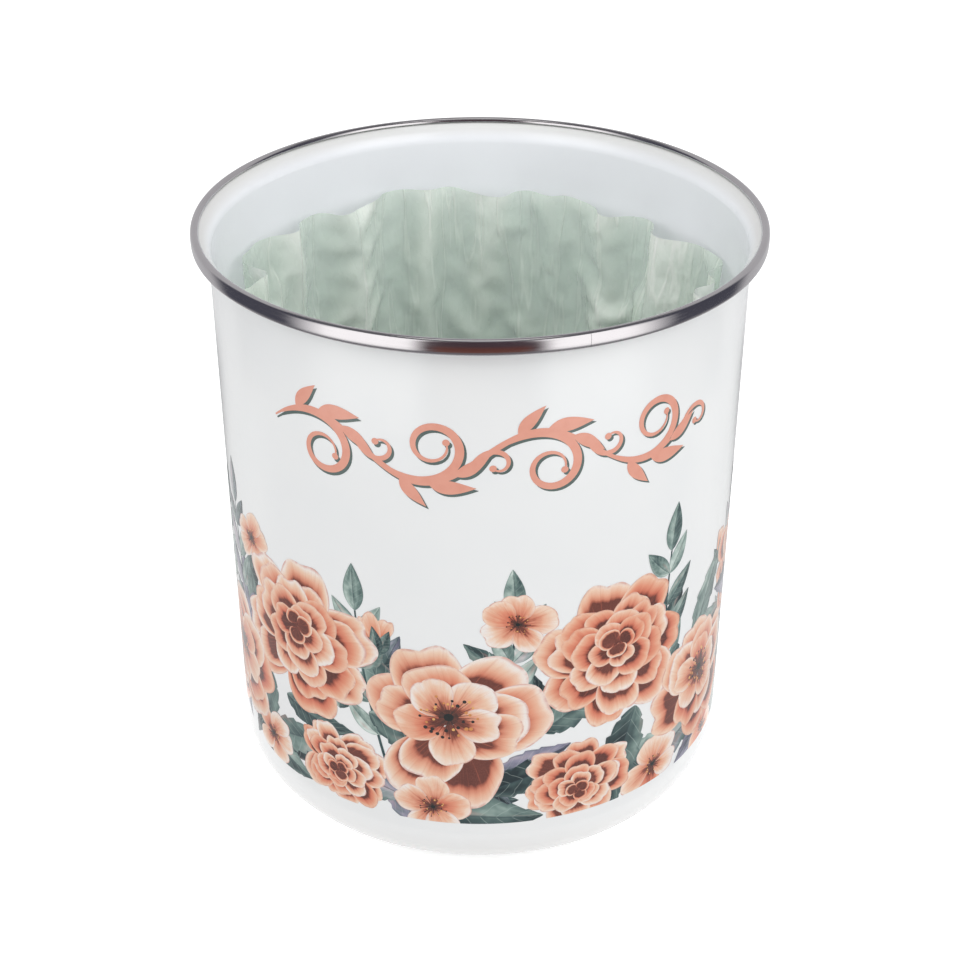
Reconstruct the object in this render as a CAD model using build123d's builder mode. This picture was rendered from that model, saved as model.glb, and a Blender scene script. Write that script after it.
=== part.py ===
"""Kitchen compost caddy: an open enamelled steel pail, its rolled rim trim and its lift-out liner bag.

Millimetres, +Z up. The origin is the centre of the base, on the surface that the pail stands on,
and the front of the pail faces -Y.
"""

from build123d import *
import os
from math import cos, degrees, radians, sin, tan

os.makedirs("parts", exist_ok=True)

# Overall size, over the rim trim
rim_r = 95.0
height = 209.5

# Pail shell: one drawn sheet, enamel included
wall_t = 0.8
mouth_flare = 5.4
wall_draft = 0.74
bottom_corner_r = 20.5
foot_ring_w = 5.0
panel_rise = 1.5
panel_ramp = 3.5
panel_fillet_r = 3.0
lip_angle = 60.0
lip_bend_r = 6.2
lip_grip = 1.1

# Rim trim: a strip rolled to a C section round the lip, its ends meeting in a butt seam
trim_t = 0.4
trim_face_h = 3.0
trim_face_bow = 6.0
trim_top_roll_r = 1.17
trim_inner_leg = 0.1
trim_low_roll_r = 0.7
trim_low_roll_turn = 165.0
trim_grip_gap = 0.15
trim_seam_gap = 0.3
trim_seam_angle = -70.0

# Liner bag: film, clear of the pail, with an uneven top edge and slack that stands off the wall in folds.
# The folds of a quarter turn, as directions and depths, come again in each of the four.
liner_t = 0.5
liner_gap = 0.6
liner_below_rim = 24.0
liner_edge_dip = 7.0
dip_count_x = 3
dip_count_y = 4
fold_w = 22.0
fold_lean = 6.0
quarter_folds = ((0.0, 9.0), (35.0, 6.5), (55.0, 7.5))

# The wall's outer radii, level with the rim and with the counter
top_r = rim_r - mouth_flare
foot_r = top_r - height * tan(radians(wall_draft))

# Along the lip from its edge back to the wall, and square to it, down and out
lip_back = Vector(-sin(radians(lip_angle)), -cos(radians(lip_angle)))
lip_under = Vector(cos(radians(lip_angle)), -sin(radians(lip_angle)))


def wall_r(z):
    """Outer radius of the drafted wall at height z."""
    return top_r - (height - z) * tan(radians(wall_draft))


# Rim trim: rolled from the middle of its bowed face, up and over onto the lip and down under it.
# The lip lies a grip gap below the inner leg, and the return leg stops a grip gap below the lip.
face_r = trim_face_h / 2 / sin(radians(trim_face_bow))
face_z = height - trim_t / 2 - trim_top_roll_r - (face_r - trim_top_roll_r) * sin(radians(trim_face_bow))
seam_arc = degrees(trim_seam_gap / rim_r)
leg_to_lip = trim_t / 2 + trim_grip_gap
with BuildPart() as rim_trim:
    with BuildSketch(Plane.XZ.rotated((0, 0, trim_seam_angle + seam_arc / 2))):
        with BuildLine():
            face_middle = (rim_r - trim_t / 2, face_z)
            upper_face = JernArc(face_middle, (0, 1), face_r, trim_face_bow)
            top_roll = JernArc(upper_face @ 1, upper_face % 1, trim_top_roll_r, 180 - trim_face_bow)
            inner_leg = Line(top_roll @ 1, top_roll @ 1 + (top_roll % 1) * trim_inner_leg)
            lip_edge = inner_leg @ 1 + lip_under * (leg_to_lip + wall_t) - lip_back * lip_grip
            lower_face = JernArc(face_middle, (0, -1), face_r, -trim_face_bow)
            low_roll = JernArc(lower_face @ 1, lower_face % 1, trim_low_roll_r, -trim_low_roll_turn)
            leg_end = lip_edge + lip_under * leg_to_lip
            below_lip = Line(leg_end, leg_end + lip_back * mouth_flare, mode=Mode.PRIVATE)
            IntersectingLine(low_roll @ 1, low_roll % 1, below_lip)
        trace(line_width=trim_t)
    revolve(axis=Axis.Z, revolution_arc=360 - seam_arc)
rim_trim.part.label = "rim_trim"
export_step(rim_trim.part, "parts/rim_trim.step")

# Pail shell: the outer skin runs over the base panel and foot ring, up the wall and out along the lip
ring_in_r = foot_r - bottom_corner_r - foot_ring_w
with BuildPart() as pail_shell:
    with BuildSketch(Plane.XZ):
        with BuildLine():
            wall = Line((foot_r, 0), (top_r, height), mode=Mode.PRIVATE)
            lip = IntersectingLine(lip_edge, lip_back, wall, mode=Mode.PRIVATE)
            skin = FilletPolyline(
                (0, panel_rise),
                (ring_in_r - panel_ramp, panel_rise),
                (ring_in_r, 0),
                (foot_r, 0),
                lip @ 1,
                lip_edge,
                radius=[panel_fillet_r, panel_fillet_r, bottom_corner_r, lip_bend_r],
            )
            offset(skin, amount=wall_t, side=Side.LEFT)
        make_face()
    revolve(axis=Axis.Z)
pail_shell.part.label = "pail_shell"
export_step(pail_shell.part, "parts/pail_shell.step")

# Liner bag: it stands on the base panel, and its folds rise out of its round foot to its top edge.
# Its skins are two filled bags, the inner one cut out of the outer, its edge dipping both across and along.
liner_inset = wall_t + liner_gap
fold_foot = panel_rise + liner_inset + bottom_corner_r
liner_top = height - liner_below_rim
folds = [(90 * quarter + turn, depth) for quarter in range(4) for turn, depth in quarter_folds]


def film_point(r, turn):
    """A point of a level outline, at a radius and a direction in degrees."""
    return (r * cos(radians(turn)), r * sin(radians(turn)))


def film_outline(z, inset, share):
    """A skin's outline at height z, with a share of the folds' depth and the rest of their lean."""
    r = wall_r(z) - inset
    half_fold = degrees((fold_w / 2 + inset - liner_inset) / r)
    turns = [turn + (1 - share) * fold_lean for turn, _ in folds]
    with BuildSketch(Plane.XY.offset(z)) as outline:
        with BuildLine():
            for (_, depth), turn, next_turn in zip(folds, turns, turns[1:] + [turns[0] + 360]):
                fold_start = film_point(r, turn - half_fold)
                fold_end = film_point(r, turn + half_fold)
                ThreePointArc(fold_start, film_point(r - share * depth, turn), fold_end)
                ThreePointArc(fold_end, film_point(r, (turn + next_turn) / 2), film_point(r, next_turn - half_fold))
        make_face()
    return outline.sketch


with BuildPart() as liner_bag:
    for inset, mode in ((liner_inset, Mode.ADD), (liner_inset + liner_t, Mode.SUBTRACT)):
        floor_z = panel_rise + inset
        with BuildSketch(Plane.XZ):
            with BuildLine():
                film = FilletPolyline(
                    (0, floor_z),
                    (wall_r(floor_z) - inset, floor_z),
                    (wall_r(fold_foot) - inset, fold_foot),
                    radius=bottom_corner_r - inset,
                )
                Polyline(film @ 1, (0, fold_foot), film @ 0)
            make_face()
        revolve(axis=Axis.Z, mode=mode)
        foot_and_top = [film_outline(fold_foot, inset, share=0), film_outline(liner_top, inset, share=1)]
        loft(foot_and_top, ruled=True, mode=mode)
    for plane, dip_count in ((Plane.XZ, dip_count_x), (Plane.YZ, dip_count_y)):
        with BuildSketch(plane):
            with BuildLine():
                half_dip = rim_r / dip_count
                edge = Spline(
                    *[
                        (i * half_dip - rim_r, liner_top - liner_edge_dip * (i % 2))
                        for i in range(2 * dip_count + 1)
                    ]
                )
                Polyline(edge @ 0, (-rim_r, height), (rim_r, height), edge @ 1)
            make_face()
        extrude(amount=rim_r, both=True, mode=Mode.SUBTRACT)
liner_bag.part.label = "liner_bag"
export_step(liner_bag.part, "parts/liner_bag.step")
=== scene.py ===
"""A kitchen compost caddy: an enamelled pail with a printed flower band, a steel rim and a film liner."""

from cmath import phase, rect
from math import cos, pi, radians, sin, tan
from random import Random

import bmesh
import bpy
import numpy as np
from mathutils import Matrix, Vector
from mathutils.geometry import delaunay_2d_cdt


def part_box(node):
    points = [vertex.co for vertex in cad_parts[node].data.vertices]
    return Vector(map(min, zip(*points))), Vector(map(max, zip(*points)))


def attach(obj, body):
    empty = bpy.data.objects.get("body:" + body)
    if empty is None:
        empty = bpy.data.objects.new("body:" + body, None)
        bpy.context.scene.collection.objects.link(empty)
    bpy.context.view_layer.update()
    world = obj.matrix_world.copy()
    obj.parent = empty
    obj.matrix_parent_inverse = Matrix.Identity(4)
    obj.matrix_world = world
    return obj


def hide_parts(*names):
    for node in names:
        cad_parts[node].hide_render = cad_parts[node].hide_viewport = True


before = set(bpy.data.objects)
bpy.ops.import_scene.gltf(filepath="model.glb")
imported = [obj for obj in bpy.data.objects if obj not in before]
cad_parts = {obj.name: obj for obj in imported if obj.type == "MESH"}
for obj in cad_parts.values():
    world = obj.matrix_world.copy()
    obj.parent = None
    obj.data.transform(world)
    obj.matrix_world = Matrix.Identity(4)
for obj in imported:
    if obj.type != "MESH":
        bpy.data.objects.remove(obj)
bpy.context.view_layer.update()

MM = 0.001

# The pail's outside wall, as the CAD model has it
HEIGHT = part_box("rim_trim")[1][2]
MOUTH_FLARE = 5.4 * MM
WALL_TOP_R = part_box("rim_trim")[1][0] - MOUTH_FLARE
WALL_DRAFT = radians(0.74)
FOOT_CORNER_R = 20.5 * MM
LIP_Z = 203.0 * MM


def wall_r(z):
    """Outer radius of the drafted wall at height z."""
    return WALL_TOP_R - (HEIGHT - z) * tan(WALL_DRAFT)


class Value:
    """A node's output. Arithmetic on it adds Math nodes."""

    def __init__(self, nodes, socket):
        self.nodes = nodes
        self.socket = socket

    def maths(self, operation, *given):
        return self.nodes.add("Math", {"operation": operation}, dict(enumerate(given)))

    def __add__(self, other):
        return self.maths("ADD", self, other)

    def __radd__(self, other):
        return self.maths("ADD", other, self)

    def __sub__(self, other):
        return self.maths("SUBTRACT", self, other)

    def __rsub__(self, other):
        return self.maths("SUBTRACT", other, self)

    def __mul__(self, other):
        return self.maths("MULTIPLY", self, other)

    def __rmul__(self, other):
        return self.maths("MULTIPLY", other, self)

    def __truediv__(self, other):
        return self.maths("DIVIDE", self, other)

    def __pow__(self, other):
        return self.maths("POWER", self, other)

    def __abs__(self):
        return self.maths("ABSOLUTE", self)

    def above(self, other):
        return self.maths("GREATER_THAN", self, other)

    def larger(self, other):
        return self.maths("MAXIMUM", self, other)

    def fraction(self):
        return self.maths("FRACT", self)

    def rise(self, start, end, low=0.0, high=1.0):
        """Runs smoothly from low to high as this value runs from start to end."""
        inputs = {"Value": self, "From Min": start, "From Max": end, "To Min": low, "To Max": high}
        return self.nodes.add("MapRange", {"interpolation_type": "SMOOTHSTEP"}, inputs)

    def mix(self, first, second):
        """The first colour where this value is 0 and the second where it is 1."""
        return self.nodes.add("Mix", {"data_type": "RGBA"}, {0: self, 6: first, 7: second}, 2)

    def ramp(self, *stops):
        return self.nodes.add("ValToRGB", {"stops": stops}, {0: self})


class Nodes:
    """A node tree, whose nodes are all made by add()."""

    def __init__(self, tree):
        self.tree = tree
        self.tree.nodes.clear()

    def add(self, kind, settings=None, inputs=None, output=0):
        node = self.tree.nodes.new("ShaderNode" + kind)
        for name, setting in (settings or {}).items():
            if name == "stops":
                for _ in setting[2:]:
                    node.color_ramp.elements.new(1.0)
                for stop, (place, colour) in zip(node.color_ramp.elements, setting):
                    stop.position = place
                    stop.color = colour
            else:
                setattr(node, name, setting)
        for name, given in (inputs or {}).items():
            if isinstance(given, Value):
                self.tree.links.new(given.socket, node.inputs[name])
            else:
                node.inputs[name].default_value = given
        return Value(self, node.outputs[output]) if node.outputs else None

    def place(self):
        return self.add("TexCoord", output="Object")

    def noise(self, vector, scale, detail=2.0):
        return self.add("TexNoise", {}, {"Vector": vector, "Scale": scale, "Detail": detail})

    def split(self, vector, kind="XYZ"):
        node = self.add("Separate" + kind, {}, {0: vector}).socket.node
        return [Value(self, socket) for socket in node.outputs]

    def join(self, x, y, z):
        return self.add("CombineXYZ", {}, {"X": x, "Y": y, "Z": z})

    def bump(self, height, distance):
        return self.add("Bump", {}, {"Height": height, "Distance": distance})

    def seen_directly(self):
        """1 where the camera, a mirror or glass looks, and 0 where a surface is lit."""
        seen = self.add("LightPath", output="Is Camera Ray")
        for ray in ("Is Glossy Ray", "Is Transmission Ray"):
            seen = seen.larger(self.add("LightPath", output=ray))
        return seen


class Finish(Nodes):
    """A procedural material."""

    def __init__(self, name):
        self.material = bpy.data.materials.new(name)
        self.material.use_nodes = True
        super().__init__(self.material.node_tree)

    def surface(self, **inputs):
        named = {}
        for name, given in inputs.items():
            named["IOR" if name == "ior" else name.replace("_", " ").title()] = given
        return self.shown(self.add("BsdfPrincipled", {}, named))

    def shown(self, shader):
        self.add("OutputMaterial", {}, {"Surface": shader})
        return self.material


def srgb(red, green, blue):
    """A colour given from 0 to 255, as a screen shows it, in the linear form that a node takes."""
    return tuple(((c / 255 + 0.055) / 1.055) ** 2.4 for c in (red, green, blue)) + (1.0,)


def new_piece(name, bm, material):
    """A new object in the scene, with the mesh and one material."""
    mesh = bpy.data.meshes.new(name)
    bm.to_mesh(mesh)
    bm.free()
    mesh.materials.append(material)
    piece = bpy.data.objects.new(name, mesh)
    bpy.context.scene.collection.objects.link(piece)
    return piece


# Enamel and steel

ENAMEL_ROUGHNESS = 0.17
ENAMEL_IOR = 1.5
# Whiter inside colour: painted light for the interior, which gets less light than the outside
INSIDE_PAINTED_LIGHT = srgb(246, 247, 252)
# Whiter foot colour: painted light on the bottom corner, which faces down
FOOT_PAINTED_LIGHT = srgb(245, 245, 244)
# Greyer lip colour: painted shade on the lip's up-facing top
LIP_PAINTED_SHADE = srgb(214, 214, 213)


def enamel_finish():
    """Glossy glass enamel with a faint swell and peel: off-white outside, painted a little whiter inside and
    at the foot as painted light, and painted greyer on the lip's up-facing top as painted shade."""
    enamel = Finish("enamel")
    x, y, z = enamel.split(enamel.place())
    facing_x, facing_y, facing_up = enamel.split(enamel.add("TexCoord", output="Normal"))
    facing_out = (facing_x * x + facing_y * y) / (x * x + y * y) ** 0.5
    # Painted light: whatever faces in or up takes the whiter inside colour
    inside = (facing_up - facing_out).rise(-0.2, 0.2)
    # Painted shade: the lip's top turns greyer the more it faces up
    on_lip = z.rise(LIP_Z - 5 * MM, LIP_Z - 2 * MM) * facing_up.rise(0.0, 0.1)
    lip_with_painted_shade = facing_up.rise(0.15, 0.85).mix(INSIDE_PAINTED_LIGHT, LIP_PAINTED_SHADE)
    swell = enamel.noise(enamel.place(), 45, 1.0)
    peel = enamel.noise(enamel.place(), 420)
    wall_coat = swell.mix(srgb(234, 236, 237), srgb(238, 239, 239))
    # Painted light: the foot is whiter than the wall above it
    outside_coat_with_painted_foot_light = z.rise(0.3 * FOOT_CORNER_R, FOOT_CORNER_R).mix(FOOT_PAINTED_LIGHT, wall_coat)
    return enamel.surface(
        base_color=on_lip.mix(inside.mix(outside_coat_with_painted_foot_light, INSIDE_PAINTED_LIGHT), lip_with_painted_shade),
        roughness=peel.rise(0.3, 0.7, 0.14, 0.2),
        ior=ENAMEL_IOR,
        normal=enamel.bump(swell * 0.8 + peel * 0.03, 0.15 * MM),
    )


def steel_finish():
    """Polished stainless strip, with fine lines drawn along it by the rolls."""
    steel = Finish("rim_steel")
    x, y, z = steel.split(steel.place())
    around = y.maths("ARCTAN2", y, x)
    outward = (x * x + y * y) ** 0.5
    lines = steel.noise(steel.join(around * 0.6, outward * 900.0, z * 900.0), 3.0, 3.0)
    smudge = steel.noise(steel.place(), 70, 3.0)
    return steel.surface(
        base_color=smudge.mix(srgb(186, 182, 184), srgb(196, 193, 194)),
        metallic=1.0,
        roughness=lines.rise(0.3, 0.75, 0.1, 0.19),
        normal=steel.bump(lines, 0.004 * MM),
    )


def dress_node(name, material):
    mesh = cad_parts[name].data
    mesh.materials.clear()
    mesh.materials.append(material)


dress_node("pail_shell", enamel_finish())

# Rim trim: the strip's rolled section, as the CAD model has it, spun finely for a clean mirror. Its seam is
# drawn closer than the CAD model's, whose two ends must stay apart.

TRIM_T = 0.4 * MM
TRIM_FACE_H = 3.0 * MM
TRIM_FACE_BOW = radians(6.0)
TRIM_TOP_ROLL_R = 1.17 * MM
TRIM_INNER_LEG = 0.1 * MM
TRIM_LOW_ROLL_R = 0.7 * MM
TRIM_LOW_ROLL_TURN = radians(165.0)
TRIM_LOW_LEG = 1.51 * MM
TRIM_SEAM_GAP = 0.1 * MM
TRIM_SEAM_ANGLE = radians(-70.0)
ROLL_STEP = radians(9)
TRIM_STEPS = 240
SHARP_EDGE = radians(35)


def rolled(start, heading, rolls):
    """A strip's middle line, rolled through each (radius, turn) in turn, and its heading at each point."""
    line, headings = [start], [heading]
    for radius, turn in rolls:
        count = max(2, round(abs(turn) / ROLL_STEP))
        for _ in range(count):
            heading += turn / count / 2
            chord = 2 * radius * sin(abs(turn) / count / 2)
            line.append(line[-1] + rect(chord, heading))
            heading += turn / count / 2
            headings.append(heading)
    return line, headings


def trim_strip():
    rim_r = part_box("rim_trim")[1][0]
    face_r = TRIM_FACE_H / 2 / sin(TRIM_FACE_BOW)
    face_z = HEIGHT - TRIM_T / 2 - TRIM_TOP_ROLL_R - (face_r - TRIM_TOP_ROLL_R) * sin(TRIM_FACE_BOW)
    middle = complex(rim_r - TRIM_T / 2, face_z)
    upper_rolls = [(face_r, TRIM_FACE_BOW), (TRIM_TOP_ROLL_R, pi - TRIM_FACE_BOW)]
    lower_rolls = [(face_r, -TRIM_FACE_BOW), (TRIM_LOW_ROLL_R, -TRIM_LOW_ROLL_TURN)]
    above, above_ways = rolled(middle, pi / 2, upper_rolls)
    below, below_ways = rolled(middle, -pi / 2, lower_rolls)
    above.append(above[-1] + rect(TRIM_INNER_LEG, above_ways[-1]))
    below.append(below[-1] + rect(TRIM_LOW_LEG, below_ways[-1]))
    ways = [way + pi for way in below_ways[:0:-1]] + above_ways
    line = below[:0:-1] + above
    ways = [ways[0]] + ways + [ways[-1]]
    half = [rect(TRIM_T / 2, way - pi / 2) for way in ways]
    outline = [p + h for p, h in zip(line, half)] + [p - h for p, h in zip(line, half)][::-1]
    bm = bmesh.new()
    ring = [bm.verts.new((p.real, 0, p.imag)) for p in outline]
    section = bm.faces.new(ring)
    half_gap = TRIM_SEAM_GAP / 2 / rim_r
    to_seam = Matrix.Rotation(TRIM_SEAM_ANGLE + half_gap, 3, "Z")
    bmesh.ops.rotate(bm, verts=ring, cent=(0, 0, 0), matrix=to_seam)
    nearly_round = 2 * pi - 2 * half_gap
    bmesh.ops.spin(
        bm, geom=[section], cent=(0, 0, 0), axis=(0, 0, 1), angle=nearly_round, steps=TRIM_STEPS
    )
    bmesh.ops.recalc_face_normals(bm, faces=bm.faces)
    for face in bm.faces:
        face.smooth = len(face.verts) == 4
    strip = new_piece("rim_strip", bm, steel_finish())
    strip.data.set_sharp_from_angle(angle=SHARP_EDGE)
    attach(strip, "pail")
    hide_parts("rim_trim")


trim_strip()

# Print paints. Each shape's map runs (along, across) it, and its tint holds (warmth, depth, seed, cover).

BARE_ENAMEL = srgb(236, 238, 240)


class Paint(Finish):
    """Watercolour fired into the enamel: its shine is the enamel's."""

    def __init__(self, name):
        super().__init__(name)
        self.along, self.across, _ = self.split(self.add("UVMap", {"uv_map": "stroke"}))
        tint = self.add("Attribute", {"attribute_name": "tint"})
        self.warmth, self.depth, self.seed = self.split(tint, "Color")
        self.cover = self.add("Attribute", {"attribute_name": "tint"}, output="Alpha")
        self.grain = self.noise(self.place(), 2600, 2.0)

    def wash(self, pace_along, pace_across, detail=2.0):
        """Uneven paint that runs with the shape's own lines, different on each shape."""
        on_shape = self.join(self.along * pace_along, self.across * pace_across, self.seed * 60.0)
        return self.noise(on_shape, 1.0, detail)

    def fired(self, colour):
        return self.surface(base_color=colour, roughness=ENAMEL_ROUGHNESS, ior=ENAMEL_IOR)


def petal_paint():
    """Peach petals: brown and coral in the heart, cream at the edge, with streaks from root to edge."""
    paint = Paint("petal_paint")
    streaks = paint.wash(1.6, 7.0, 3.0)
    brush = paint.wash(1.1, 24.0, 2.0)
    pools = paint.wash(2.2, 1.6, 2.0)
    shown = (paint.along - paint.cover) / (1.0 - paint.cover)
    run = shown + (streaks - 0.5) * 0.45 + (pools - 0.5) * 0.7 - paint.depth * 0.14
    peach = run.ramp(
        (0.0, srgb(106, 60, 52)),
        (0.09, srgb(164, 93, 75)),
        (0.2, srgb(209, 134, 108)),
        (0.42, srgb(230, 173, 145)),
        (0.66, srgb(236, 202, 177)),
        (0.95, srgb(243, 227, 212)),
    )
    coral = run.ramp(
        (0.0, srgb(88, 50, 45)),
        (0.1, srgb(160, 82, 66)),
        (0.24, srgb(208, 118, 93)),
        (0.5, srgb(225, 149, 120)),
        (0.8, srgb(233, 184, 156)),
        (1.0, srgb(241, 213, 191)),
    )
    colour = (paint.warmth + (pools - 0.5) * 1.1).rise(0.25, 0.75).mix(peach, coral)
    faded = (run + (1.0 - paint.warmth) * 0.3).rise(0.95, 1.4) * 0.6
    colour = faded.mix(colour, BARE_ENAMEL)
    lines = brush.rise(0.56, 0.7) * paint.along.rise(0.5, 1.0, 0.4, 0.12)
    colour = lines.mix(colour, srgb(196, 104, 80))
    side = abs(paint.across).rise(0.68, 1.0) * 0.5
    colour = side.mix(colour, srgb(190, 100, 80))
    edge = paint.along.rise(0.955, 0.995) * streaks.rise(0.35, 0.6) * 0.6
    colour = edge.mix(colour, srgb(200, 112, 90))
    return paint.fired((paint.grain.rise(0.3, 0.8) * 0.1).mix(colour, srgb(214, 130, 108)))


def leaf_paint():
    """Grey-green leaves: two halves in two tones, paler veins and darker edges."""
    paint = Paint("leaf_paint")
    pools = paint.wash(2.6, 1.0, 2.0)
    streaks = paint.wash(9.0, 1.2, 2.0)
    half = paint.across.above(0.0)
    tone = paint.depth + (pools - 0.5) * 1.1 + (streaks - 0.5) * 0.3 + half * 0.22 - paint.along * 0.12
    green = tone.ramp(
        (0.05, srgb(36, 50, 54)),
        (0.3, srgb(70, 90, 90)),
        (0.55, srgb(114, 136, 131)),
        (0.8, srgb(166, 184, 177)),
        (1.0, srgb(206, 220, 214)),
    )
    dusk = tone.ramp(
        (0.05, srgb(50, 52, 66)),
        (0.3, srgb(92, 94, 112)),
        (0.55, srgb(142, 140, 160)),
        (0.8, srgb(186, 176, 186)),
        (1.0, srgb(220, 210, 210)),
    )
    colour = (paint.warmth + (pools - 0.5) * 0.9).rise(0.45, 0.8).mix(green, dusk)
    blush = (paint.wash(1.8, 1.4, 1.0).rise(0.6, 0.78) * 0.35).mix(colour, srgb(196, 150, 144))
    ribs = ((paint.along - abs(paint.across) * 0.16) * 8.0).fraction()
    vein = abs(ribs - 0.5).rise(0.44, 0.5) * 0.3
    colour = vein.mix(blush, srgb(196, 210, 204))
    midrib = abs(paint.across).rise(0.0, 0.09, 0.65, 0.0)
    colour = midrib.mix(colour, srgb(60, 78, 82))
    edge = abs(paint.across).rise(0.82, 1.0) * streaks.rise(0.35, 0.6) * 0.45
    return paint.fired(edge.mix(colour, srgb(64, 86, 90)))


def plain_paint(name, light, dark):
    """One colour, uneven between a light and a dark tone."""
    paint = Paint(name)
    tone = paint.noise(paint.place(), 300, 3.0) * 0.7 + paint.depth * 0.5
    return paint.fired(tone.rise(0.2, 0.9).mix(light, dark))


def centre_paint():
    """Stamens and hearts, from gold at the tips to near black."""
    paint = Paint("centre_paint")
    tone = paint.depth + (paint.grain - 0.5) * 0.3
    return paint.fired(
        tone.ramp(
            (0.0, srgb(236, 190, 120)),
            (0.3, srgb(206, 140, 84)),
            (0.6, srgb(112, 66, 56)),
            (0.85, srgb(58, 50, 48)),
            (1.0, srgb(36, 42, 42)),
        )
    )


PAINTS = {
    "petal": petal_paint(),
    "leaf": leaf_paint(),
    "stem": plain_paint("stem_paint", srgb(96, 122, 120), srgb(38, 58, 64)),
    "centre": centre_paint(),
    "stroke": plain_paint("stroke_paint", srgb(227, 162, 143), srgb(216, 144, 125)),
    "stroke_shade": plain_paint("stroke_shade_paint", srgb(98, 112, 108), srgb(72, 86, 84)),
}

# The print is drawn flat first, as complex numbers in millimetres: the real part runs round the wall from the
# front of the pail, and the imaginary part runs up from the counter.

PRINT_LIFT = 0.05 * MM
FLOWERS_FOOT = 24.7
FLOWERS_TOP = 146.0
SCROLL_FOOT = 143.0
SCROLL_TOP = 191.0
SCROLL_HALF_W = 84.5
PANELS = 6
LATTICE = 1.3
BAKE_MARGIN = 0.01
FLAT_R = wall_r(75 * MM) / MM
ROUND = 2 * pi * FLAT_R
TILE = ROUND / 2

STEM_W = 1.1

# A leaf's usual width, as a share of its length
LEAF_W = 0.42


def along(start, end, count):
    """Evenly spaced numbers from start to end."""
    return [start + (end - start) * i / (count - 1) for i in range(count)]


def tilt(point, toward, keep):
    """A flat point, foreshortened in the direction toward to keep times its size."""
    return (1 + keep) / 2 * point - (1 - keep) / 2 * rect(1, 2 * toward) * point.conjugate()


def ribbon(line, widths):
    """The outline of a band along a line, with its width at each point."""
    ways = [b - a for a, b in zip(line[:1] + line, line[1:] + line[-1:])]
    sides = [rect(width / 2, phase(way) + pi / 2) for width, way in zip(widths, ways)]
    return [p + s for p, s in zip(line, sides)] + [p - s for p, s in zip(line, sides)][::-1]


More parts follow.
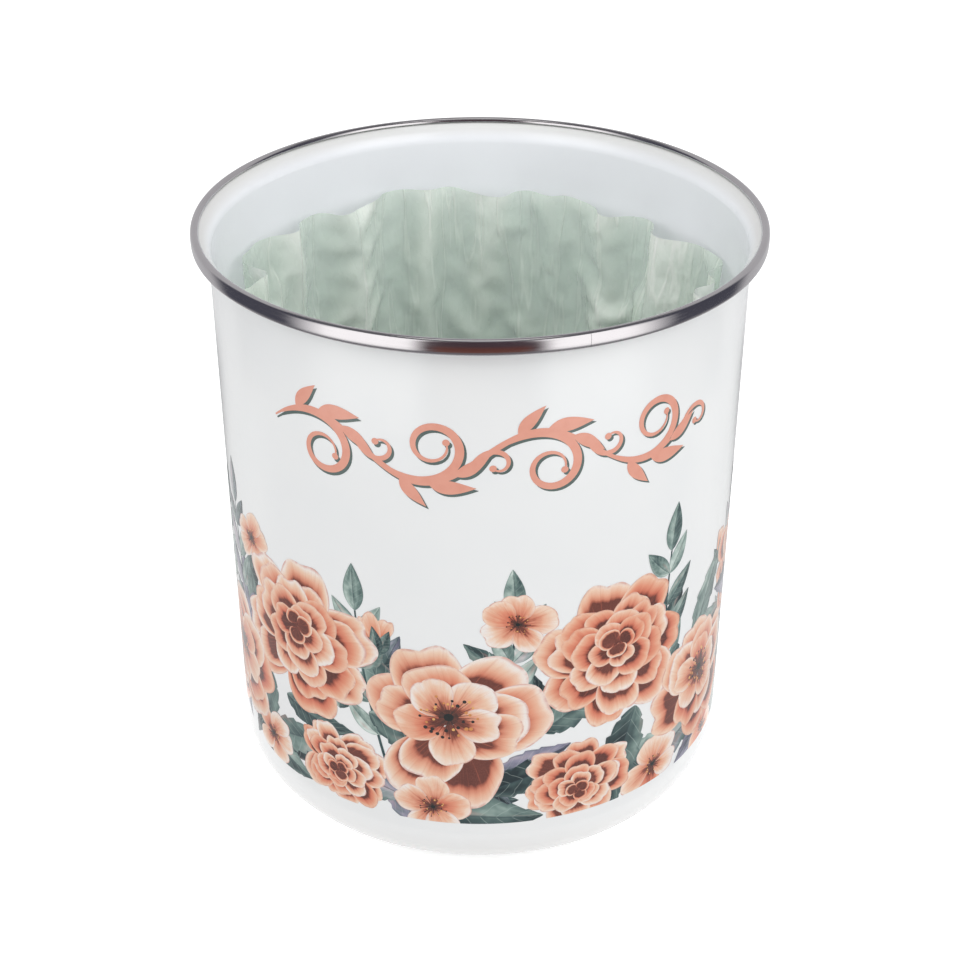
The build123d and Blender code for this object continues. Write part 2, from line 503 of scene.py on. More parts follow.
class Drawing:
    """Shapes painted one over another, each with its paint, outline, way back to its own map and tint."""

    def __init__(self, seed):
        self.dice = Random(seed)
        self.shapes = []

    def shape(self, paint, outline, own_map=lambda point: (0, 0), warmth=0.0, depth=0.0, cover=0.0):
        tint = (warmth, depth, self.dice.random(), cover)
        turn = sum((a.conjugate() * b).imag for a, b in zip(outline, outline[1:] + outline[:1]))
        outline = outline if turn > 0 else outline[::-1]
        for shift in (-ROUND, 0, ROUND):
            if min(abs(p.real + shift) for p in outline) < ROUND / 2:
                moved = [p + shift for p in outline]
                self.shapes.append((paint, moved, lambda p, shift=shift: own_map(p - shift), tint))

    def petal(self, root, heading, length, spread, lean, cover, warmth, depth):
        """A petal fanned out from its root, with a ruffled edge."""
        dice = self.dice
        curl = dice.uniform(-0.25, 0.25)
        waves = [
            (dice.uniform(1.5, 3.5), dice.uniform(0, 6), 0.05),
            (dice.uniform(6, 11), dice.uniform(0, 6), 0.02),
        ]
        notch = dice.uniform(0, 0.1)

        def reach(side):
            ruffle = sum(size * sin(pace * side + start) for pace, start, size in waves)
            dent = notch * max(0, 1 - abs(side) * 4)
            return length * max(cos(side * pi / 2), 0) ** 0.4 * (1 + ruffle - dent)

        def own_map(point):
            bare = tilt(point - root, lean[0], 1 / lean[1])
            far = abs(bare)
            side = (phase(bare * rect(1, -heading)) - curl * far / length) / spread if far else 0
            side = max(-1, min(1, side))
            return far / max(reach(side), far, 1e-6), side

        def place(side):
            far = reach(side)
            return root + tilt(rect(far, heading + side * spread + curl * far / length), *lean)

        self.shape("petal", [place(side) for side in along(-1, 1, 37)[1:]], own_map, warmth, depth, cover)

    def leaf(self, root, heading, length, width, bend=0.0, teeth=0, warmth=0.2, depth=0.5):
        """A pointed leaf along a bent midrib, with an even number of teeth or none."""

        def half_width(u):
            tooth = 1 - 0.2 * ((u * teeth) % 1) if teeth and 0.12 < u < 0.95 else 1
            return max(width / length / 2 * sin(pi * u ** 0.85) ** 0.85 * (1.12 - 0.3 * u) * tooth, 1e-4)

        def own_map(point):
            flat = (point - root) * rect(1 / length, -heading)
            u = max(0, min(1, flat.real))
            return u, max(-1, min(1, (flat.imag - bend * u * u) / half_width(u)))

        steps = along(0.004, 0.996, 22 if not teeth else 6 * teeth)
        edges = [complex(u, bend * u * u + side * half_width(u)) for side in (-1, 1) for u in steps[::-side]]
        self.shape("leaf", [root + rect(length, heading) * p for p in edges], own_map, warmth, depth)

    def stem(self, start, middle, end):
        """A stem curved by its middle point, drawn thinner towards its end."""
        line = [start * (1 - t) ** 2 + 2 * middle * t * (1 - t) + end * t * t for t in along(0, 1, 16)]
        self.shape("stem", ribbon(line, along(STEM_W, STEM_W * 0.55, 16)), depth=0.6)

    def disc(self, centre, radius, depth, sides=14, lean=(0, 1)):
        ring = [centre + tilt(rect(radius, 2 * pi * i / sides), *lean) for i in range(sides)]
        self.shape("centre", ring, depth=depth)

    # Flowers and sprigs

    def rings_of_petals(self, centre, size, rings, lean, rise, warmth):
        """Rings of petals, the inner ones raised towards the way the flower faces."""
        dice = self.dice
        inner = [reach for reach, _ in rings[1:]] + [0.16]
        for (reach, count), next_reach in zip(rings, inner):
            start = dice.uniform(0, 2 * pi)
            order = list(range(count))
            dice.shuffle(order)
            for i in order:
                heading = start + 2 * pi * (i + dice.uniform(-0.16, 0.16)) / count
                self.petal(
                    root=centre + rect(size * rise * (1 - reach), lean[0]) + rect(size * 0.03, heading),
                    heading=heading,
                    length=size * reach * dice.uniform(0.9, 1.08),
                    spread=pi / count * dice.uniform(1.35, 1.65),
                    lean=lean,
                    cover=min(0.86, 0.9 * next_reach / reach),
                    warmth=warmth + dice.uniform(-0.55, 0.55),
                    depth=dice.uniform(-0.5, 0.7) + 0.9 * (1 - reach) ** 2,
                )

    def full_bloom(self, centre, size, toward=90, keep=0.92, warmth=0.5):
        """A full double bloom that closes over its heart."""
        lean = (radians(toward), keep)
        self.rings_of_petals(
            centre, size, ((1.0, 7), (0.84, 7), (0.67, 6), (0.5, 5), (0.34, 4), (0.2, 3)), lean, 0.22, warmth
        )

    def open_bloom(self, centre, size, toward=90, keep=0.92, warmth=0.5):
        """A half-double bloom, open on a dark heart with a crown of stamens."""
        lean = (radians(toward), keep)
        self.rings_of_petals(centre, size, ((1.0, 6), (0.8, 5), (0.56, 5)), lean, 0.12, warmth)
        self.crown(centre + rect(size * 0.1, lean[0]), size * 0.3, lean, 34)

    def wild_rose(self, centre, size, toward=90, keep=0.9, warmth=0.3):
        """A single five-petalled rose."""
        lean = (radians(toward), keep)
        self.rings_of_petals(centre, size, ((1.0, 5),), lean, 0.0, warmth)
        self.crown(centre, size * 0.34, lean, 22)

    def crown(self, centre, size, lean, count):
        """Stamens round a dark heart."""
        dice = self.dice
        self.disc(centre, size * 0.34, 0.75, lean=lean)
        tips = []
        for i in range(count):
            turn = 2 * pi * (i + dice.uniform(-0.4, 0.4)) / count
            tip = centre + tilt(rect(size * dice.uniform(0.5, 1.0), turn), *lean)
            self.shape("centre", ribbon([centre, tip], (0.3, 0.18)), depth=dice.uniform(0.6, 0.85))
            tips.append(tip)
        for tip in tips:
            radius = size * dice.uniform(0.045, 0.075)
            self.disc(tip, radius, dice.choice((0.12, 0.3, 0.9)), sides=8)
        self.disc(centre, size * 0.17, 1.0, lean=lean)

    def bud(self, root, heading, size):
        """A bud that opens from its sepals."""
        for turn in (-0.28, 0.28, 0.0):
            self.petal(root, heading + turn, size * 0.95, 0.42, (heading, 1), 0.2, 0.6, 0.35)
        foot = root - rect(size * 0.1, heading)
        for turn in (-0.62, 0.6, -0.05):
            self.leaf(foot, heading + turn, size * 0.72, size * 0.3, 0.12, depth=0.35)

    def sprig(self, root, heading, length, bend, pairs, leaf_length, warmth, depth):
        """A curved stem with pairs of leaves and one at its tip."""
        way = rect(length, heading)
        end = root + way * complex(1, bend)
        middle = root + way * 0.5
        self.stem(root, middle, end)
        for i in range(pairs):
            t = (i + 0.9) / (pairs + 0.6)
            joint = root * (1 - t) ** 2 + 2 * middle * t * (1 - t) + end * t * t
            turn = phase((middle - root) * (1 - t) + (end - middle) * t)
            size = leaf_length * (1 - 0.35 * abs(t - 0.45))
            for side in (-1, 1):
                angle = turn + side * self.dice.uniform(0.6, 0.95)
                tone = depth + self.dice.uniform(-0.22, 0.22)
                warm = warmth + self.dice.uniform(-0.2, 0.25)
                self.leaf(joint, angle, size, size * LEAF_W, side * -0.12, 0, warm, tone)
        last = phase(end - middle)
        self.leaf(end, last, leaf_length, leaf_length * LEAF_W, bend * 0.3, 0, warmth, depth)


BACK_LEAVES = 34


def flower_band():
    """Two like stretches of flowers, side by side round the pail, each with its own chance strokes."""
    band = Drawing(11)
    up = pi / 2
    for shift in (0, TILE):

        def at(x, y):
            return complex(x + shift, y)

        for i in range(BACK_LEAVES):
            x = TILE * ((i + band.dice.uniform(-0.4, 0.4)) / BACK_LEAVES - 0.5)
            root = at(x, band.dice.uniform(30, 84))
            outward = 0.9 if root.imag > 58 else -0.25
            heading = band.dice.choice((outward, pi - outward)) + band.dice.uniform(-0.45, 0.45)
            length = band.dice.uniform(26, 38)
            tone = band.dice.uniform(0.12, 0.5)
            bend = band.dice.uniform(-0.25, 0.25)
            warmth = band.dice.uniform(0, 0.9)
            band.leaf(root, heading, length, length * LEAF_W, bend, 5, warmth, tone)
        for x, y, heading, length, bend, size, warmth, depth in (
            (-128, 60, up - 0.25, 50, 0.1, 17, 0.1, 0.6),
            (-98, 66, up + 0.3, 52, -0.12, 18, 0.6, 0.5),
            (-32, 46, up + 0.26, 60, -0.1, 18, 0.1, 0.55),
            (4, 60, up - 0.3, 50, 0.16, 17, 0.3, 0.6),
            (70, 62, up + 0.12, 56, -0.1, 18, 0.1, 0.5),
            (110, 56, up - 0.3, 54, 0.1, 18, 0.55, 0.55),
        ):
            band.sprig(at(x, y), heading, length, bend, 4, size, warmth, depth)
        for x, y, heading, length, warmth, depth in (
            (-122, 36, 2.6, 36, 0.5, 0.5),
            (-100, 36, -0.3, 38, 0.2, 0.4),
            (-84, 62, -1.9, 40, 0.1, 0.3),
            (-60, 46, -2.7, 34, 0.2, 0.45),
            (-38, 66, -0.4, 36, 0.1, 0.35),
            (-26, 34, 2.9, 40, 0.6, 0.45),
            (-22, 30, -0.1, 44, 0.2, 0.35),
            (20, 62, 0.5, 34, 0.1, 0.4),
            (22, 42, -0.4, 34, 0.3, 0.5),
            (56, 62, -1.9, 42, 0.1, 0.3),
            (60, 34, 0.2, 40, 0.5, 0.5),
            (78, 70, 0.3, 36, 0.1, 0.35),
            (104, 36, -0.2, 38, 0.2, 0.4),
            (118, 64, -1.2, 38, 0.5, 0.45),
        ):
            bend = band.dice.uniform(-0.2, 0.2)
            band.leaf(at(x, y), heading, length, length * 0.44, bend, 7, warmth, depth)
        band.wild_rose(at(-86, 34), 13, 280, 0.85, 0.5)
        band.wild_rose(at(100, 28), 12, 260, 0.85, 0.6)
        band.bud(at(-34, 92), up + 0.1, 15)
        band.bud(at(104, 96), up - 0.2, 14)
        band.wild_rose(at(12, 106), 13, 60, 0.85, 0.2)
        band.wild_rose(at(-92, 112), 12, 120, 0.85, 0.3)
        band.full_bloom(at(-50, 40), 20, 250, 0.9, 0.35)
        band.full_bloom(at(124, 88), 22, 70, 0.9, 0.6)
        band.wild_rose(at(66, 32), 15, 300, 0.85, 0.25)
        band.full_bloom(at(-66, 84), 32, 100, 0.94, 0.35)
        band.full_bloom(at(46, 86), 31, 80, 0.93, 0.6)
        band.open_bloom(at(92, 56), 29, 80, 0.92, 0.5)
        band.open_bloom(at(-112, 56), 29, 100, 0.92, 0.35)
        band.full_bloom(at(34, 38), 21, 270, 0.9, 0.45)
        band.open_bloom(at(-10, 66), 33, 95, 0.93, 0.4)
        band.wild_rose(at(-16, 31), 14, 250, 0.9, 0.2)
    return band


# The scroll ornament over the flowers: a running vine of volutes, turned down and up by turns

SCROLL_Y = 167.0
SCROLL_START = -72.0
SCROLL_PITCH = 36.0
SCROLL_SWING = 9.0
SCROLL_SHADE = complex(0.75, -0.85)
STROKE_END = 0.5
CURL_TIP_R = 1.15


def vine(waves):
    """The vine's main stem, waves half-waves along from its start, and its heading there."""
    place = complex(SCROLL_START + SCROLL_PITCH * waves, SCROLL_Y + SCROLL_SWING * sin(pi * waves))
    return place, phase(complex(SCROLL_PITCH, SCROLL_SWING * pi * cos(pi * waves)))


def sweep(start, heading, length, bend, curl, count=64):
    """A line that starts by turning bend radians over its length, and turns ever more, up to bend + curl."""
    line = [start]
    for i in range(count):
        heading += (bend + curl * (i + 0.5) / count) / count
        line.append(line[-1] + rect(length / count, heading))
    return line


def scroll():
    """The vine's stem, volutes, tendrils and leaves, each over its own dark edge."""
    drawing = Drawing(5)
    strokes = [([vine(waves)[0] for waves in along(0.05, 3.95, 90)], 2.1)]
    outlines = []
    for k in range(4):
        side = 1 - 2 * (k % 2)
        root, heading = vine(k + 0.1)
        strokes.append((sweep(root, heading, 74, -side * 1.5, -side * 14.5), 2.8))
        root, heading = vine(k + 0.92)
        strokes.append((sweep(root, heading - side * 0.3, 22, side * 0.4, side * 9.0), 1.7))
        for waves, turn, length in ((0.32, 0.7, 12.5), (0.56, 0.45, 14.5), (0.78, 0.2, 12.5)):
            root, heading = vine(k + waves)
            edge = []
            for half in (-1, 1):
                for u in along(0, 1, 17)[::-half]:
                    edge.append(length * complex(u, half * 0.17 * sin(pi * u ** 0.8) - side * 0.22 * u * u))
            outlines.append([root + rect(1, heading + side * turn) * p for p in edge])
    for line, width in strokes:
        swell = [sin(pi * share ** 0.75) for share in along(0, 1, len(line))]
        outlines.append(ribbon(line, [STROKE_END + (width - STROKE_END) * s for s in swell]))
        outlines.append([line[-1] + rect(CURL_TIP_R, 2 * pi * i / 16) for i in range(16)])
    for paint, shift in (("stroke_shade", SCROLL_SHADE), ("stroke", 0)):
        for outline in outlines:
            drawing.shape(paint, [p + shift for p in outline])
    return drawing


def on_wall(x, y):
    """The place on the pail's wall of a point of the flat drawing."""
    r = wall_r(y * MM) + PRINT_LIFT
    return Vector((r * sin(x / FLAT_R), -r * cos(x / FLAT_R), y * MM))


def topmost(shapes, places):
    """The number of the last shape that is wound round each place, or -1."""
    top = np.full(len(places), -1)
    for number, (_, outline, _, _) in enumerate(shapes):
        ring = np.array(outline)
        beside = (places.real > ring.real.min()) & (places.real < ring.real.max())
        near = np.flatnonzero(beside & (places.imag > ring.imag.min()) & (places.imag < ring.imag.max()))
        start = ring[:, None] - places[near]
        end = np.roll(ring, -1)[:, None] - places[near]
        turn = (start.conjugate() * end).imag
        rising = (start.imag <= 0) & (end.imag > 0) & (turn > 0)
        falling = (start.imag > 0) & (end.imag <= 0) & (turn < 0)
        top[near[rising.sum(0) != falling.sum(0)]] = number
    return top


def cut_flat(shapes, left, right, foot, top, panels):
    """The shapes' outlines and a lattice cut into flat triangles: the points, and each triangle's three."""
    points, edges = [], []
    for _, outline, _, _ in shapes:
        last = len(points) + len(outline) - 1
        edges += [(i, i + 1) for i in range(len(points), last)] + [(last, len(points))]
        points += [(p.real, p.imag) for p in outline]
    across = panels * round((right - left) / panels / LATTICE)
    upward = round((top - foot) / LATTICE)
    lines = [((x, foot), (x, top)) for x in along(left, right, across + 1)]
    lines += [((left, y), (right, y)) for y in along(foot, top, upward + 1)]
    for line in lines:
        edges.append((len(points), len(points) + 1))
        points += line
    flat, _, triangles, _, _, _ = delaunay_2d_cdt(points, edges, [], 0, 1e-3)
    return flat, triangles


def panel_mesh(name, flat, found, left, right, foot, top):
    """One panel's triangles, bent round the wall, with their paints, own maps, bake map and tints."""
    used = {i: n for n, i in enumerate(sorted({i for triangle, _ in found for i in triangle}))}
    mesh = bpy.data.meshes.new(name)
    faces = [[used[i] for i in triangle] for triangle, _ in found]
    mesh.from_pydata([on_wall(*flat[i]) for i in used], [], faces)
    for material in PAINTS.values():
        mesh.materials.append(material)
    paints = list(PAINTS)
    mesh.polygons.foreach_set("material_index", [paints.index(shape[0]) for _, shape in found])
    strokes, bake, tints = [], [], []
    for triangle, (_, _, own_map, tint) in found:
        for i in triangle:
            x, y = flat[i]
            strokes += own_map(complex(x, y))
            for share in ((x - left) / (right - left), (y - foot) / (top - foot)):
                bake.append(BAKE_MARGIN + (1 - 2 * BAKE_MARGIN) * share)
            tints += tint
    mesh.uv_layers.new(name="stroke").uv.foreach_set("vector", strokes)
    mesh.uv_layers.new(name="OFBake").uv.foreach_set("vector", bake)
    mesh.color_attributes.new("tint", "FLOAT_COLOR", "CORNER").data.foreach_set("color", tints)
    outward = [Vector((p.co.x, p.co.y, 0)).normalized() for p in mesh.vertices]
    mesh.normals_split_custom_set_from_vertices(
        [(cos(WALL_DRAFT) * n.x, cos(WALL_DRAFT) * n.y, -sin(WALL_DRAFT)) for n in outward]
    )
    return mesh


def print_on_wall(drawing, name, left, right, foot, top, panels):
    """Cuts a drawing into panels round the wall, each of the triangles where a shape shows on top."""
    flat, triangles = cut_flat(drawing.shapes, left, right, foot, top, panels)
    corners = np.array([complex(*p) for p in flat])
    middles = corners[np.array(triangles)].mean(1)
    bins = [[] for _ in range(panels)]
    for triangle, middle, source in zip(triangles, middles, topmost(drawing.shapes, middles)):
        if source >= 0 and left < middle.real < right and middle.imag > foot:
            panel = int((middle.real - left) / (right - left) * panels)
            bins[panel].append((triangle, drawing.shapes[source]))
    wide = (right - left) / panels
    for number, found in enumerate(bins):
        start = left + number * wide
        mesh = panel_mesh(name, flat, found, start, start + wide, foot, top)
        piece = bpy.data.objects.new(name if panels == 1 else f"{name}_{number + 1}", mesh)
        bpy.context.scene.collection.objects.link(piece)
        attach(piece, "pail")


print_on_wall(flower_band(), "flower_print", -ROUND / 2, ROUND / 2, FLOWERS_FOOT, FLOWERS_TOP, PANELS)
print_on_wall(scroll(), "scroll_print", -SCROLL_HALF_W, SCROLL_HALF_W, SCROLL_FOOT, SCROLL_TOP, 1)

# Liner: a film bag wider than the pail, folded into it and then relaxed, so that its slack settles into folds

FILM_FLOOR, FILM_TOP = (corner[2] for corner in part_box("liner_bag"))
EDGE_PROUD = 5.0 * MM
EDGE_TOP = FILM_TOP + EDGE_PROUD
FILM_FROM_OUTSIDE = 1.35 * MM
START_GAP = 1.2 * MM
CORNER_R = 19.0 * MM
CORNER_Z = FILM_FLOOR + CORNER_R
HUB_R = 14.0 * MM
COLUMNS = 232
WALL_ROWS = 66
CORNER_ROWS = 8
FLOOR_ROWS = 14
GIRTH_SLACK = 1.12
DEPTH_SLACK = 1.03
SETTLING_STEPS = 130
QUARTER_FOLDS = ((0.0, 9.0), (35.0, 6.5), (55.0, 7.5))
FOLD_LEAN = radians(6.0)
PRESS = 0.006 * MM
CRUMPLES = 38
SWAGS = 17
WAVES = 60

# The film's springs: how many points down and across each one reaches, and its strength
SPRINGS = ((0, 1, 0.9), (1, 0, 0.9), (1, 1, 0.6), (1, -1, 0.6), (0, 2, 0.16), (2, 0, 0.12))


def film_limit(z):
    """The largest radius that the film may reach at height z, just inside the wall and its rounded corner."""
    under = np.clip(CORNER_Z - z, 0, CORNER_R)
    return wall_r(z) - FILM_FROM_OUTSIDE - CORNER_R + np.sqrt(CORNER_R ** 2 - under ** 2)


def bump_over(turns, centre, wide, power):
    """1 at a direction round the pail, falling to 0 beyond a width."""
    return np.exp(-np.abs(np.angle(np.exp(1j * (turns - centre))) / wide) ** power)


def fold_depths(turns, up, dice):
    """How far the film stands off the wall before it settles: upright folds, swags and crumples."""
    depth = 0.0
    for quarter in range(4):
        for turn, tall in QUARTER_FOLDS:
            sway = 0.05 * np.sin(4 * up + dice.uniform(0, 6))
            centre = radians(90 * quarter + turn) + FOLD_LEAN * (1 - up) + sway
            depth += tall * MM * up * bump_over(turns, centre, 0.1, 1.7)
    for number in range(CRUMPLES):
        centre = 2 * pi * (number + dice.uniform(-0.6, 0.6)) / CRUMPLES
        lean = centre + dice.uniform(-0.55, 0.55) * (1 - up) + 0.06 * np.sin(5 * up + dice.uniform(0, 6))
        top, end = dice.uniform(0.75, 1.3), dice.uniform(-0.1, 0.6)
        share = np.clip((up - end) / 0.3, 0, 1) * np.clip((top - up) / 0.15, 0, 1)
        tall = dice.uniform(2.5, 7.0 + 6.0 * abs(cos(centre))) * MM
        depth += tall * share * bump_over(turns, lean, dice.uniform(0.03, 0.085) * (2.2 - 1.2 * up), 1.7)
    for number in range(SWAGS):
        centre = 2 * pi * (number + dice.uniform(-0.5, 0.5)) / SWAGS
        wide = dice.uniform(0.12, 0.3)
        line = dice.uniform(0.76, 0.97) - dice.uniform(0.05, 0.16) * bump_over(turns, centre, wide, 2)
        ridge = np.exp(-np.abs((up - line) / dice.uniform(0.013, 0.028)) ** 1.7)
        depth += dice.uniform(1.5, 4.5) * MM * bump_over(turns, centre, wide, 4) * ridge
    for _ in range(WAVES):
        waves = dice.randint(8, 44) * turns + dice.uniform(-130, 130) * up + dice.uniform(0, 6)
        depth += 0.09 * MM * up * (0.3 + np.sin(waves))
    return depth


def springs(girth, depth):
    """Groups of point pairs with their rest lengths and strengths. No two pairs in a group share a point."""
    rows, columns = np.indices((len(girth), COLUMNS))
    for down, across, strength in SPRINGS:
        lane = (rows if down else columns) // (down or across)
        for half in (0, 1):
            i, j = np.nonzero((lane % 2 == half) & (rows + down < len(girth)))
            length = np.hypot(depth[i + down] - depth[i], across * (girth[i] + girth[i + down]) / 2)
            yield i * COLUMNS + j, (i + down) * COLUMNS + (j + across) % COLUMNS, length, strength


def settled_film():
    """The film's points, row by row from the bag's edge to the middle of its floor."""
    side = along(EDGE_TOP, CORNER_Z, WALL_ROWS)
    bends = along(0, pi / 2, CORNER_ROWS + 1)[1:]
    inner_r = float(film_limit(CORNER_Z)) - CORNER_R
    r = np.array([float(film_limit(z)) for z in side] + [inner_r + CORNER_R * cos(b) for b in bends])
    z = np.array(side + [CORNER_Z - CORNER_R * sin(b) for b in bends])
    r = np.append(r, along(inner_r, HUB_R, FLOOR_ROWS + 1)[1:])
    z = np.append(z, [FILM_FLOOR] * FLOOR_ROWS)
    girth = GIRTH_SLACK * 2 * pi * r / COLUMNS
    depth = DEPTH_SLACK * np.append(0, np.cumsum(np.hypot(np.diff(r), np.diff(z))))
    turns = np.linspace(-pi / 2, 1.5 * pi, COLUMNS, endpoint=False)[None, :]
    up = ((z - FILM_FLOOR) / (EDGE_TOP - FILM_FLOOR))[:, None]
    edge = 3.4 + 1.7 * np.sin(2 * turns + 0.6) + 1.1 * np.sin(5 * turns + 2) + 0.6 * np.sin(9 * turns)
    start_r = r[:, None] - START_GAP - fold_depths(turns, up, Random(4))
    start_z = z[:, None] - edge * MM * up ** 2
    points = np.stack([start_r * np.cos(turns), start_r * np.sin(turns), start_z], -1).reshape(-1, 3)
    hub = points[-COLUMNS:] * (HUB_R / start_r[-1, :, None])
    hub[:, 2] = FILM_FLOOR
    groups = list(springs(girth, depth))
    for _ in range(SETTLING_STEPS):
        for first, second, length, strength in groups:
            gap = points[second] - points[first]
            size = np.maximum(np.sqrt((gap * gap).sum(1)), 1e-9)
            move = gap * (strength / 2 * (1 - length / size))[:, None]
            points[first] += move
            points[second] -= move
        points[-COLUMNS:] = hub
        points[:, 2] = np.clip(points[:, 2], FILM_FLOOR, EDGE_TOP)
        far = np.maximum(np.hypot(points[:, 0], points[:, 1]), 1e-9)
        points[:, :2] *= (np.minimum(far + PRESS, film_limit(points[:, 2])) / far)[:, None]
    return points.reshape(-1, COLUMNS, 3)


def film_finish():
    """Thin translucent film: pale mint, whiter and less clear along its creases, with painted highlight
    making it whiter and less clear on folds that stand off the wall and towards its top edge.
    """
    film = Finish("liner_film")
    x, y, z = film.split(film.place())
    outward = (x * x + y * y) ** 0.5
    streaks = film.noise(film.join(x / outward * 9.0, y / outward * 9.0, z * 12.0), 1.0, 3.0)
    pools = film.noise(film.place(), 34, 2.0)
    crinkle = film.noise(film.join(x / outward * 24.0, y / outward * 24.0, z * 160.0), 1.0, 3.0)
    creases = abs(streaks - 0.5).rise(0.0, 0.03, 1.0, 0.0)
    # Painted highlight: fold crests that stand off the wall are painted whiter and less clear
    painted_crest_highlight = (wall_r(z) - outward).rise(4.0 * MM, 13.0 * MM) * z.rise(0.3 * FILM_TOP, 0.6 * FILM_TOP)
    # Painted highlight: the film is painted whiter and less clear towards its top edge
    edge = z.rise(EDGE_TOP - 14 * MM, EDGE_TOP)
    # Creases and pools are the film's own cloudiness; crests and edge add painted highlight
    cloudiness_and_painted_highlight = creases * 0.22 + pools.rise(0.35, 0.65) * 0.26 + painted_crest_highlight * 0.42 + edge * 0.26
    return film.surface(
        base_color=cloudiness_and_painted_highlight.mix(srgb(207, 231, 209), srgb(250, 252, 247)),
        roughness=crinkle.rise(0.3, 0.7, 0.2, 0.36),
        alpha=cloudiness_and_painted_highlight.rise(0.0, 1.0, 0.4, 0.9),
        normal=film.bump(creases * 0.3 + crinkle * 0.7, 0.8 * MM),
    )


def film_bag():
    points = settled_film()
    bm = bmesh.new()
    bmesh.ops.create_grid(bm, x_segments=COLUMNS, y_segments=len(points) - 1, size=1.0)
    closed = np.concatenate([points, points[:, :1]], 1).reshape(-1, 3)
    for vertex, place in zip(bm.verts, closed):
        vertex.co = place
    bmesh.ops.remove_doubles(bm, verts=bm.verts, dist=1e-7)
    hub = [e for e in bm.edges if e.is_boundary and e.verts[0].co.z < CORNER_Z]
    disc = bmesh.ops.contextual_create(bm, geom=hub)["faces"]
    bmesh.ops.poke(bm, faces=disc)
    bmesh.ops.recalc_face_normals(bm, faces=bm.faces)
    for face in bm.faces:
        face.smooth = True
    bag = new_piece("liner_film", bm, film_finish())
    fine = bag.modifiers.new("fine", "SUBSURF")
    fine.levels = 1
    fine.render_levels = 1
    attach(bag, "liner")
    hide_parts("liner_bag")


film_bag()

# Camera, as the photograph was taken: 30 degrees above level, straight in front

CAMERA_TARGET = Vector((0, 0, 108.5 * MM))
CAMERA_DISTANCE = 707.5 * MM
CAMERA_ELEVATION = radians(30.03)
CAMERA_LENS = 74.8
CAMERA_SENSOR = 36.0
toward_camera = Vector((0, -cos(CAMERA_ELEVATION), sin(CAMERA_ELEVATION)))
camera = bpy.data.objects.new("camera", bpy.data.cameras.new("camera"))
camera.data.lens = CAMERA_LENS
camera.data.sensor_width = CAMERA_SENSOR
camera.location = CAMERA_TARGET + toward_camera * CAMERA_DISTANCE
camera.rotation_euler = toward_camera.to_track_quat("Z", "Y").to_euler()
bpy.context.scene.collection.objects.link(camera)
bpy.context.scene.camera = camera
bpy.context.scene.view_settings.view_transform = "Standard"

# Floor and light: a pale floor, a bright room, three soft boxes and what the metal and the enamel mirror

ROOM_LIGHT = 0.72
SOFT_BOXES = (
    ("box_left", (-1.0, -0.535, 0.72), (0.7, 0.9), 4.0),
    ("box_right", (1.0, -0.535, 0.72), (0.7, 0.9), 5.4),
    ("box_top", (0.0, -0.45, 1.35), (0.6, 1.2), 3.9),
)
FLOOR_HALF_W = 4.0
FLOOR_GLOW = 0.66
DRUM_R = 1.15
DRUM_FOOT_R = 0.105
DRUM_MOUTH_R = 0.4
DRUM_FOOT = 0.001
DRUM_TOP = 1.6
DRUM_EDGE = DRUM_TOP - 0.01
DRUM_STEPS = 96
DRUM_GLOW = 1.8


def floor():
    finish = Finish("floor")
    board = finish.add("BsdfDiffuse", {}, {"Color": srgb(214, 214, 214)})
    glow = finish.add("Emission", {}, {"Strength": finish.seen_directly() * FLOOR_GLOW})
    bm = bmesh.new()
    bmesh.ops.create_grid(bm, x_segments=1, y_segments=1, size=FLOOR_HALF_W)
    new_piece("floor", bm, finish.shown(finish.add("AddShader", {}, {0: board, 1: glow})))


def room():
    world = bpy.data.worlds.new("room")
    world.use_nodes = True
    bpy.context.scene.world = world
    nodes = Nodes(world.node_tree)
    strength = nodes.seen_directly().rise(0, 1, ROOM_LIGHT, 1.0)
    white_room = nodes.add("Background", {}, {"Color": (1, 1, 1, 1), "Strength": strength})
    nodes.add("OutputWorld", {}, {"Surface": white_room})


def soft_box(name, place, size, power):
    lamp = bpy.data.lights.new(name, "AREA")
    lamp.shape = "RECTANGLE"
    lamp.size, lamp.size_y = size
    lamp.energy = power
    box = bpy.data.objects.new(name, lamp)
    box.location = place
    box.rotation_euler = (Vector(place) - CAMERA_TARGET).to_track_quat("Z", "Y").to_euler()
    box.visible_glossy = False
    bpy.context.scene.collection.objects.link(box)


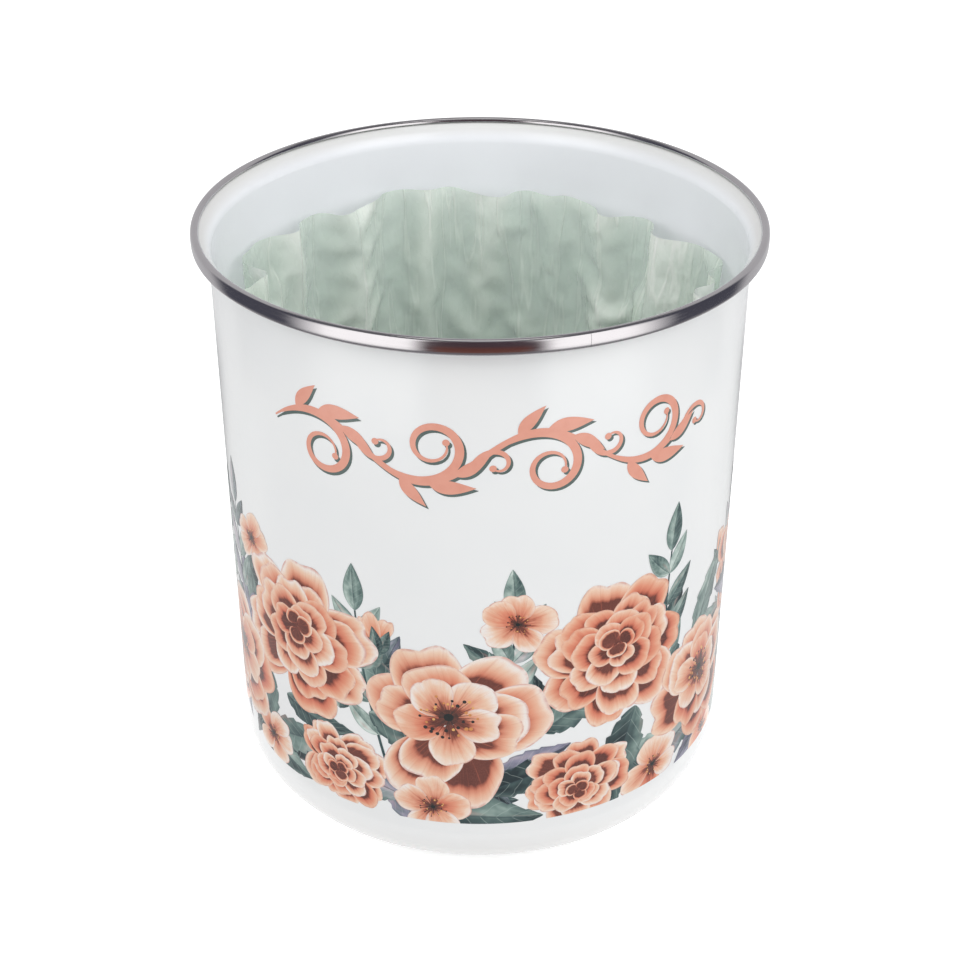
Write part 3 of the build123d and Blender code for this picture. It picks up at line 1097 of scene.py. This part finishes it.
def reflectors():
    """A drum round the set that only mirrors see: dark round the camera, then white boxes, then grey."""
    finish = Finish("reflectors")
    x, y, z = finish.split(finish.place())
    outward = (x * x + y * y) ** 0.5
    turn = x.maths("ARCTAN2", x, y * -1.0) / (2 * pi) + 0.5
    tones = {
        "dark": (0.056, 0.057, 0.074, 1),
        "side": (0.36, 0.36, 0.37, 1),
        "white": (1, 1, 1, 1),
        "front": (0.055, 0.036, 0.044, 1),
        "front floor": (0.13, 0.045, 0.03, 1),
        "foot": (0.28, 0.28, 0.29, 1),
        "near floor": (0.14, 0.14, 0.15, 1),
        "side floor": (0.42, 0.42, 0.42, 1),
        "ceiling": (0.1, 0.1, 0.11, 1),
    }
    stops = (
        (0.0, "side"),
        (0.17, "side"),
        (0.2, "dark"),
        (0.295, "dark"),
        (0.345, "white"),
        (0.43, "white"),
        (0.448, "front"),
        (0.556, "front"),
        (0.574, "white"),
        (0.655, "white"),
        (0.71, "dark"),
        (0.8, "dark"),
        (0.83, "side"),
        (1.0, "side"),
    )
    far = turn.ramp(*((place, tones[name]) for place, name in stops))
    warm = abs(turn - 0.502).rise(0.04, 0.056, 0.9, 0.0) * outward.rise(0.35, 0.85, 1.0, 0.0)
    off_front = abs(turn - 0.5)
    beside = off_front.rise(0.21, 0.3) * off_front.rise(0.35, 0.41, 1.0, 0.0)
    middle = outward.rise(0.12, 0.3).mix(tones["foot"], tones["near floor"])
    near = beside.mix(middle, tones["side floor"])
    around = outward.rise(0.34, 0.42).mix(near, warm.mix(far, tones["front floor"]))
    tone = z.rise(DRUM_EDGE, DRUM_TOP).mix(around, tones["ceiling"])
    bm = bmesh.new()
    places = (
        (DRUM_FOOT_R, DRUM_FOOT),
        (DRUM_R, DRUM_FOOT),
        (DRUM_R, DRUM_EDGE),
        (DRUM_R, DRUM_TOP),
        (DRUM_MOUTH_R, DRUM_TOP),
    )
    profile = [bm.verts.new((r, 0, z)) for r, z in places]
    edges = [bm.edges.new(pair) for pair in zip(profile, profile[1:])]
    line = profile + edges
    bmesh.ops.spin(
        bm, geom=line, cent=(0, 0, 0), axis=(0, 0, 1), angle=2 * pi, steps=DRUM_STEPS, use_merge=True
    )
    glow = finish.add("Emission", {}, {"Color": tone, "Strength": DRUM_GLOW})
    drum = new_piece("reflectors", bm, finish.shown(glow))
    finish.material.cycles.emission_sampling = "NONE"
    drum.visible_camera = False
    drum.visible_diffuse = False
    drum.visible_transmission = False
    drum.visible_shadow = False


floor()
room()
reflectors()
for box in SOFT_BOXES:
    soft_box(*box)
